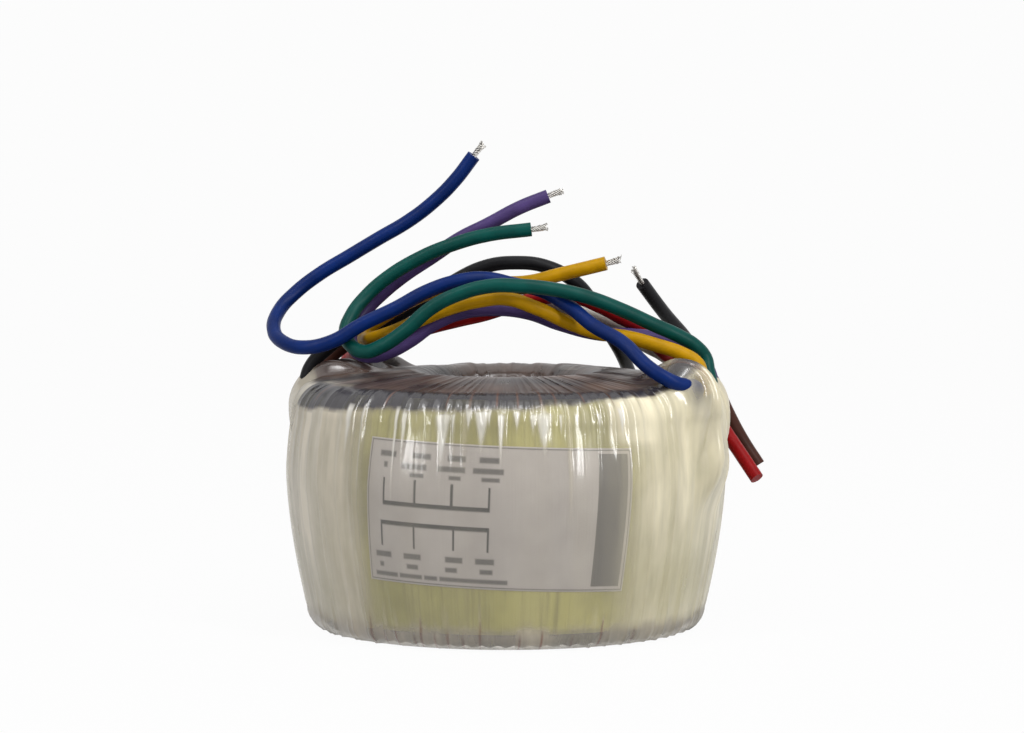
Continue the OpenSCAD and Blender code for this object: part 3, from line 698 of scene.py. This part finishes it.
# Creases: a sharp crest between two straight flanks of their own widths, in degrees. Each runs from
# the top down to its own height and dies away there.
creases = [
    # turn, left and right flank, height in mm, fades from and to (height in mm), and milkiness,
    # partly painted highlight
    (-68.0, 1.6, 1.0, 0.40, 58, 40, 0.3), (-57.0, 1.4, 1.8, 0.35, 57, 30, 0.15),
    (-47.5, 1.2, 1.6, 0.40, 58, 36, 0.2), (-43.5, 0.7, 0.9, 0.45, 57, 45, 0.3),
    (-40.0, 0.5, 1.2, 0.60, 58, 44, 0.5), (-34.5, 0.9, 0.8, 0.35, 60, 54, 0.1),
    (-27.3, 0.9, 0.7, 0.42, 58, 42, 0.45), (-23.8, 0.5, 0.8, 0.38, 60, 54, 0.2),
    (-19.5, 0.6, 0.6, 0.25, 60, 56, 0.1), (-15.7, 0.6, 0.8, 0.55, 59, 50, 0.5),
    (-13.4, 0.7, 0.6, 0.45, 60, 38, 0.35), (-10.8, 0.5, 1.1, 0.50, 59, 38, 0.4),
    (-8.4, 0.5, 0.5, 0.32, 60, 55, 0.15), (-5.6, 0.9, 0.9, 0.50, 59, 53, 0.4),
    (-3.7, 0.4, 0.5, 0.28, 60, 56, 0.15), (-1.4, 0.6, 0.5, 0.42, 58, 42, 0.35),
    (-0.2, 0.4, 0.6, 0.36, 58, 46, 0.3), (2.6, 0.4, 0.6, 0.30, 60, 55, 0.15),
    (4.4, 0.5, 0.5, 0.30, 60, 56, 0.1), (7.0, 0.6, 0.9, 0.48, 59, 52, 0.35),
    (9.8, 1.3, 1.0, 0.62, 59, 50, 0.55), (12.6, 0.5, 0.5, 0.28, 60, 55, 0.1),
    (14.8, 0.6, 0.6, 0.40, 59, 50, 0.25), (16.3, 0.7, 0.7, 0.45, 58, 20, 0.45),
    (20.6, 0.8, 0.9, 0.42, 59, 53, 0.25), (23.6, 0.5, 0.7, 0.28, 60, 56, 0.2),
    (26.3, 0.6, 1.0, 0.34, 60, 54, 0.3), (29.3, 1.0, 0.7, 0.48, 58, 42, 0.4),
    (33.0, 0.8, 1.2, 0.42, 58, 46, 0.3), (37.5, 1.6, 1.0, 0.50, 57, 34, 0.15),
    (43.0, 1.2, 1.8, 0.42, 57, 38, 0.15), (48.5, 1.8, 1.4, 0.46, 57, 30, 0.15),
    (54.0, 1.0, 1.6, 0.40, 56, 36, 0.3),
]
# Round the rest of the ring they are drawn
others = 64
spare = np.concatenate([draw.uniform(-178, -72, others // 2), draw.uniform(72, 178, others // 2)])
creases += zip(spare, *(draw.uniform(low, high, others) for low, high in
                        ((0.8, 2.0), (0.8, 2.0), (0.15, 0.42), (56, 60), (25, 54), (0.05, 0.3))))
# Each crease is painted milkier along its crest: partly the whitening of creased film, and partly
# painted highlight in place of the lamps' streaks in it
milk_and_highlight = np.zeros((columns, rows))
for turn, left, right, high, fades_from, fades_to, milk_and_highlight_share in creases:
    off = wrapped(turns - turn)
    flank = np.where(off < 0, -off / left, off / right)
    reach = smooth((over * 1000 - fades_to) / (fades_from - fades_to)) * (1 - 0.65 * across_top)
    lift += high / 1000 * reach * np.exp(-(flank**1.3)) * (film_z > 0.012)
    milk_and_highlight = np.maximum(milk_and_highlight, milk_and_highlight_share * reach * np.exp(-(flank**2)) * (film_z > 0.012))

# Tucks at the base, where the strip turns under
tucks = 70
tuck_turns = -180 + 360 * (np.arange(tucks) + draw.uniform(-0.4, 0.4, tucks)) / tucks
for turn, wide, high, top in zip(tuck_turns, draw.uniform(0.5, 1.3, tucks),
                                 draw.uniform(0.15, 0.5, tucks), draw.uniform(8, 17, tucks)):
    off = np.abs(wrapped(turns - turn))
    reach = falls(film_z * 1000, top, 9) * (film_r > 0.04) * (film_z < UPPER_HALF_Z)
    lift += high / 1000 * reach * np.exp(-((off / wide) ** 1.3))
    milk_and_highlight = np.maximum(milk_and_highlight, 0.3 * reach * bell(off, 0, wide))

# Soft swells in the film, from what it is wound over
SWELLS = 26
for _ in range(SWELLS):
    at, wide = draw.uniform(-180, 180), draw.uniform(4, 10)
    high, middle = draw.uniform(-0.16, 0.16), draw.uniform(0.01, 0.06)
    lift += high / 1000 * bell(wrapped(turns - at), 0, wide) * bell(over, middle, 0.02)

# Pads: the film lies over each joint and lead as a ridge, which starts lower and stands further
# out over the low joint
PAD_FROM, LOW_PAD_FROM = 0.042, 0.032
PAD_HIGH, LOW_PAD_HIGH = 0.0041, 0.0056
pad = np.zeros((columns, rows))
for _, _, turn, joint_z, _, _ in LEADS.values():
    low, high = (LOW_PAD_FROM, LOW_PAD_HIGH) if joint_z == LOW_JOINT_Z else (PAD_FROM, PAD_HIGH)
    across_pad = np.exp(-((np.abs(wrapped(turns - turn)) / 2.9) ** 2.4))
    along_pad = rises(over, low, 0.015) * falls(over, 0.081, 0.012)
    pad = np.maximum(pad, high * across_pad * along_pad)


def tent(first, last, high, low):
    """The film stretched over neighbouring joints: flat between two turns, with even slopes at
    both ends and along the section, from a lowest place up."""
    level = rises(turns, first, 5) * falls(turns, last, 5)
    return high * level * rises(over, low, 0.015) * falls(over, 0.0765, 0.01)


right_tent = np.maximum(tent(53, 81, 0.0034, 0.041), tent(56, 76, 0.0033, 0.031))
over_blue_lead = 0.005 * bell(wrapped(turns - 57), 0, 6.5) * bell(over, 0.0632, 0.006)
lift += (np.maximum(pad, right_tent) + over_blue_lead) * upper_half

# It lies closer in the hole, and flat where it bears on the base
lift *= 1 - 0.6 * falls(film_r, 0.027, 0.006)
under = falls(film_r, 0.045, 0.003) * (film_z < 0.01)
lift = np.where(film_z < 0.001, 0, lift) * (1 - under)
skin_r = film_r + lift * out_r
skin_z = np.maximum(film_z + lift * out_z, BASE_Z / 2)
film = mesh_piece("film_wrap", round_the_axis(skin_r, np.radians(turns), skin_z),
                  grid_faces(columns, rows, True, True).tolist(), [])

# How milky the film is at mid height, by turns round the ring: clear in front, over the label
MILKINESS = ((-90, 0.82), (-62, 0.78), (-47, 0.7), (-41, 0.52), (-38, 0.2), (-30, 0.1), (0, 0.08),
             (24, 0.1), (28, 0.16), (33, 0.3), (37, 0.7), (60, 0.76), (90, 0.8), (120, 0.55),
             (150, 0.42), (180, 0.5))
haze = np.interp(turns, *zip(*MILKINESS)) + 0 * over
haze += 0.45 * rises(over, 0.05, 0.004) * rises(turns, 26, 3) * falls(turns, 44, 6)
haze += 0.07 * lap_tone * rises(haze, 0.05, 0.3) + 0.02 * lap_tone
# It is thinner, and the tape shows through, low on both sides
thin_right = bell(turns, 56, 20) * bell(film_z, 0.015, 0.011)
thin_left = bell(turns, -60, 22) * bell(film_z, 0.014, 0.010)
haze = haze * (1 - 0.5 * thin_right - 0.25 * thin_left)

# The top, where it lies over the bare winding; on both sides its edge is softer and further in
ragged = 0.0007 * np.clip(lap_tone, -2, 2)
aside = rises(turned, 48, 12) * falls(turned, 128, 20)
on_top = rises(over + ragged, 0.0642 + 0.0026 * aside, 0.0022 + 0.003 * aside) * upper_half
right_milk = smooth(right_tent / 0.003) * rises(turns, 56.5, 5) * falls(over, 0.0668, 0.004)
on_top *= 1 - 0.8 * right_milk
crest = bell(film_r, 0.0255, 0.004) * (film_z > 0.05)
haze = haze * (1 - 0.8 * on_top) + (0.66 + 0.2 * crest) * on_top
far_side = rises(turned, 62, 22)
# From -66 on to the left the shoulder's dark part reaches further down
left_dark = falls(turns, -66, 22) * rises(over, 0.056, 0.006)
haze += 0.8 * np.maximum(far_side * rises(film_r, 0.024, 0.006), left_dark) * on_top
haze -= 0.1 * right_milk
haze = np.maximum(haze, 0.9 * far_side * rises(over, 0.053, 0.011) * upper_half)

# The dark winding's shoulder shows under the film's edge, lower on the left than on the right
edge_line = np.interp(turns, (-75, -55, -25, 0, 18, 30, 60),
                      (0.0580, 0.0590, 0.0600, 0.0606, 0.0618, 0.0632, 0.0632))
shade = rises(over + 0.5 * ragged, edge_line, 0.0014) * falls(over, 0.0705, 0.0045) * upper_half
shade *= np.where(turns < 0, rises(turns, -118, 52), falls(turns, 74, 10))
shade = np.maximum(shade, left_dark * (0.55 + 0.16 * lap_tone))
haze = np.maximum(haze, 0.86 * shade)
# It is clearer over the last of the blue lead, and dull again in a band at the base
haze *= 1 - 0.85 * bell(turns, 55.3, 2.6) * bell(over, 0.0617, 0.0024)
low_band = falls(film_z - ragged, 0.0075, 0.003) * (film_r > 0.04)
haze = haze * (1 - 0.8 * low_band) + (0.55 + 0.07 * lap_tone) * low_band
haze = np.clip(np.maximum(haze, milk_and_highlight * 0.8 * (1 - 0.5 * across_top) + haze * 0.5), 0, 0.95)

# Painted highlights: wedges of white sheen painted under the shoulder, where a crease runs out:
# turn, half width at the top in degrees, and the height in mm at which it ends
PAINTED_SHEEN_TOP = 60.5
PAINTED_SHEEN = ((-45.5, 1.0, 46), (-40.2, 0.5, 34), (-29.5, 0.6, 30), (-27.0, 0.8, 43), (-16.3, 2.2, 38),
         (-13.6, 0.6, 48), (-9.6, 0.9, 54), (-6.2, 2.0, 47), (-4.3, 0.5, 55), (-1.2, 1.0, 42),
         (2.8, 1.0, 54), (6.9, 1.1, 53), (9.8, 2.6, 46), (14.2, 0.6, 52), (18.6, 0.8, 55),
         (24.8, 0.9, 54), (31.5, 0.8, 52))
painted_sheen = np.zeros((columns, rows))
for turn, half, ends in PAINTED_SHEEN:
    up_share = np.clip((over * 1000 - ends) / (PAINTED_SHEEN_TOP - ends), 0, 1)
    off = np.abs(wrapped(turns - turn - 20 * (over - 0.058)))
    wedge = smooth((half * up_share**1.6 - off) / (0.3 + 0.6 * half) + 0.5)
    wedge = wedge * smooth(up_share * 1.6) * falls(over - 0.0006 * np.sin(7 * turn), 0.0612, 0.0014)
    painted_sheen = np.maximum(painted_sheen, wedge * (film_z > 0.02))
haze = np.maximum(haze, 0.6 * painted_sheen)

# Wires that lie close under the film at the base and at the shoulder show as dark copper lines
GLINT_TURNS = (-40.8, -36.2, -32.2, -26.5, -24.4, -20.2, -16.5, -12.2, -7.4, 3.6, 9.7, 18.5, 27.0,
               38.0)
GLINT_TOPS = (-34.0, -15.9, -9.6, -2.4, 3.2, 9.4, 13.6, 21.5, 30.0)
GLINT_HEIGHTS = (0.0105, 0.006, 0.0075, 0.0055)
glint = np.zeros((columns, rows))
for number, turn in enumerate(GLINT_TURNS + tuple(draw.uniform(70, 290, 20))):
    line = bell(np.abs(wrapped(turns - turn - 60 * film_z)), 0, 0.32) * (film_r > 0.035)
    glint = np.maximum(glint, line * falls(film_z, GLINT_HEIGHTS[number % 4], 0.004))
for turn in GLINT_TOPS + tuple(draw.uniform(60, 300, 22)):
    line = bell(np.abs(wrapped(turns - turn)), 0, 0.3)
    glint = np.maximum(glint, 0.5 * line * rises(over, 0.0605, 0.002) * falls(over, 0.074, 0.006))
haze = np.maximum(haze, 0.85 * glint)

# How yellow the milkiness is, and how much of it is the dark winding's grey. The milk made lighter
# towards the right is painted light, and the grey added towards both sides, more on the left, is
# painted shade
warmth_and_painted_light = rises(turns, -10, 60) * falls(turns, 150, 60) + 0 * over
low_grey = (0.35 + 0.25 * rises(turns, 8, 15)) * low_band
side_painted_shade = 0.28 * rises(turned, 56, 26) * (turns < 0) + 0.12 * rises(turns, 58, 20)
greyness = np.maximum(np.maximum(on_top, shade), low_grey + side_painted_shade)
for name, values in (("glint", glint), ("shade", np.clip(shade, 0, 1)),
                     ("painted_sheen", np.clip(painted_sheen, 0, 1)), ("haze", haze), ("warmth_and_painted_light", warmth_and_painted_light),
                     ("greyness", greyness)):
    point_values(film, name, values)


def maths(tree, operation, first, second):
    """The output of one sum on two values."""
    return add(tree, "Math", {0: first, 1: second}, operation=operation).outputs[0]


clear, clear_tree = new_material("clear_film")
fine = streaks(clear_tree, 420, 0.08)
broad = streaks(clear_tree, 90, 0.5)
grey = kept(clear_tree, "greyness")
uneven = maths(clear_tree, "MULTIPLY", between(clear_tree, fine, 0.3, 0.7, 0.9, 1.1),
               between(clear_tree, broad, 0.3, 0.7, 0.72, 1.2))
cover = add(clear_tree, "Math", {0: kept(clear_tree, "haze"), 1: uneven}, operation="MULTIPLY",
            use_clamp=True)
# Painted light and shade: the winding's tone under the film on top runs darker and lighter in a
# noise pattern, standing in for the light and shade on the film's folds
painted_fold_shading = between(clear_tree, noise(clear_tree, 75), 0.36, 0.64)
wound_tone = mix_colour(clear_tree, painted_fold_shading, linear(54, 48, 50), linear(108, 90, 82))
# Yellower and lighter towards the right: the added lightness is painted light
milk_tone = mix_colour(clear_tree, kept(clear_tree, "warmth_and_painted_light"), linear(201, 191, 170),
                       linear(238, 228, 196))
# The near white laid over the milk for the sheen wedges is a painted highlight
for factor, tone in ((grey, wound_tone), (kept(clear_tree, "shade"), linear(42, 39, 44)),
                     (kept(clear_tree, "painted_sheen"), linear(236, 232, 224)),
                     (kept(clear_tree, "glint"), linear(116, 70, 44))):
    milk_tone = mix_colour(clear_tree, factor, milk_tone, tone)
crinkle = add(clear_tree, "Bump", {"Height": fine, "Strength": 0.25, "Distance": 0.0003}).outputs[0]
milk_layer = add(clear_tree, "BsdfPrincipled", {
    "Base Color": milk_tone,
    "Roughness": between(clear_tree, broad, 0.3, 0.7, 0.26, 0.42),
    "Specular IOR Level": 0.25,
    "Normal": crinkle,
}).outputs[0]
clear_layer = add(clear_tree, "BsdfTransparent", {"Color": (0.97, 0.96, 0.93, 1)}).outputs[0]
body_layer = add(clear_tree, "MixShader", {0: cover.outputs[0], 1: clear_layer, 2: milk_layer})
gloss = add(clear_tree, "BsdfGlossy", {"Color": (1, 1, 1, 1), "Roughness": 0.15,
                                       "Normal": crinkle})
# Its gloss grows towards the edges, but only up to a limit, which is lower over the dark winding
edge_on = add(clear_tree, "Fresnel", {"IOR": 1.45, "Normal": crinkle}).outputs[0]
shine = maths(clear_tree, "MINIMUM", maths(clear_tree, "ADD", edge_on, 0.02),
              between(clear_tree, grey, 0, 1, 0.13, 0.05))
show(clear_tree, add(clear_tree, "MixShader", {
    0: shine, 1: body_layer.outputs[0], 2: gloss.outputs[0]}).outputs[0])
film.data.materials.append(clear)
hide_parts("outer_film")
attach(film, "root")


# ---- Floor, backdrop and light ----
# A plain white sweep: a floor that curves up behind into a wall. Softboxes stand high at both
# sides and overhead, in an even white room.
SWEEP_FRONT, SWEEP_BACK, SWEEP_CURVE, SWEEP_TOP, SWEEP_HALF = -4.0, 1.6, 0.5, 2.4, 4.0
SWEEP_COLUMNS = 9
SWEEP_GLOW = 0.965  # the share of plain white in what is seen of it
bend_angle = np.linspace(-np.pi / 2, 0, 17)
bend_y = SWEEP_BACK - SWEEP_CURVE + SWEEP_CURVE * np.cos(bend_angle)
bend_z = SWEEP_CURVE + SWEEP_CURVE * np.sin(bend_angle)
sweep_y = np.concatenate([[SWEEP_FRONT, 0.0], bend_y, [SWEEP_BACK]])
sweep_z = np.concatenate([[0.0, 0.0], bend_z, [SWEEP_TOP]])
sweep_x = np.linspace(-SWEEP_HALF, SWEEP_HALF, SWEEP_COLUMNS)[:, None] + 0 * sweep_y
sweep_points = np.stack([sweep_x, sweep_y + 0 * sweep_x, sweep_z + 0 * sweep_x], -1)
paper_white, white_tree = new_material("white_sweep")
ray = add(white_tree, "LightPath").outputs
looked_at = maths(white_tree, "MAXIMUM", ray["Is Camera Ray"], ray["Is Glossy Ray"])
looked_at = maths(white_tree, "MAXIMUM", looked_at, ray["Is Transmission Ray"])
share = maths(white_tree, "MULTIPLY", looked_at, SWEEP_GLOW)
grain = mix_colour(white_tree, noise(white_tree, 40, 2), (0.52, 0.52, 0.52, 1),
                   (0.55, 0.55, 0.55, 1))
matt = add(white_tree, "BsdfDiffuse", {"Color": grain}).outputs[0]
glow = add(white_tree, "Emission", {"Color": (1, 1, 1, 1), "Strength": 1.0}).outputs[0]
show(white_tree, add(white_tree, "MixShader", {0: share, 1: matt, 2: glow}).outputs[0])
sweep = mesh_piece("white_sweep", sweep_points,
                   grid_faces(SWEEP_COLUMNS, len(sweep_y))[:, ::-1].tolist(), [paper_white])

# The room looks white, and lights the transformer with a dimmer, even light
world = bpy.data.worlds.new("white_room")
scene.world = world
world.use_nodes = True
world.node_tree.nodes.clear()
room = add(world.node_tree, "Background", {"Color": (1, 1, 1, 1), "Strength": 0.31})
white = add(world.node_tree, "Background", {"Color": (1, 1, 1, 1), "Strength": 1.0})
ray = add(world.node_tree, "LightPath").outputs
looked_at = maths(world.node_tree, "MAXIMUM", ray["Is Camera Ray"], ray["Is Glossy Ray"])
sky = add(world.node_tree, "MixShader", {0: looked_at, 1: room.outputs[0], 2: white.outputs[0]})
add(world.node_tree, "OutputWorld", {"Surface": sky.outputs[0]})


def softbox(name, turn, rise, distance, wide, tall, power):
    """A rectangular lamp that faces the transformer from a turn round it and an angle above it,
    both in degrees."""
    lamp = bpy.data.lights.new(name, "AREA")
    lamp.shape, lamp.size, lamp.size_y, lamp.energy = "RECTANGLE", wide, tall, power
    stand = bpy.data.objects.new(name, lamp)
    turn, rise = np.radians(turn), np.radians(rise)
    away = Vector((np.sin(turn) * np.cos(rise), -np.cos(turn) * np.cos(rise), np.sin(rise)))
    stand.location = Vector((0, 0, 0.05)) + away * distance
    stand.rotation_mode = "QUATERNION"
    stand.rotation_quaternion = away.to_track_quat("Z", "Y")
    scene.collection.objects.link(stand)


softbox("softbox_right", 42, 38, 0.9, 0.13, 1.2, 6.2)
softbox("softbox_left", -46, 38, 0.9, 0.1, 1.2, 3.8)
softbox("softbox_above", 10, 76, 1.1, 1.1, 0.8, 3.0)

bpy.context.view_layer.update()
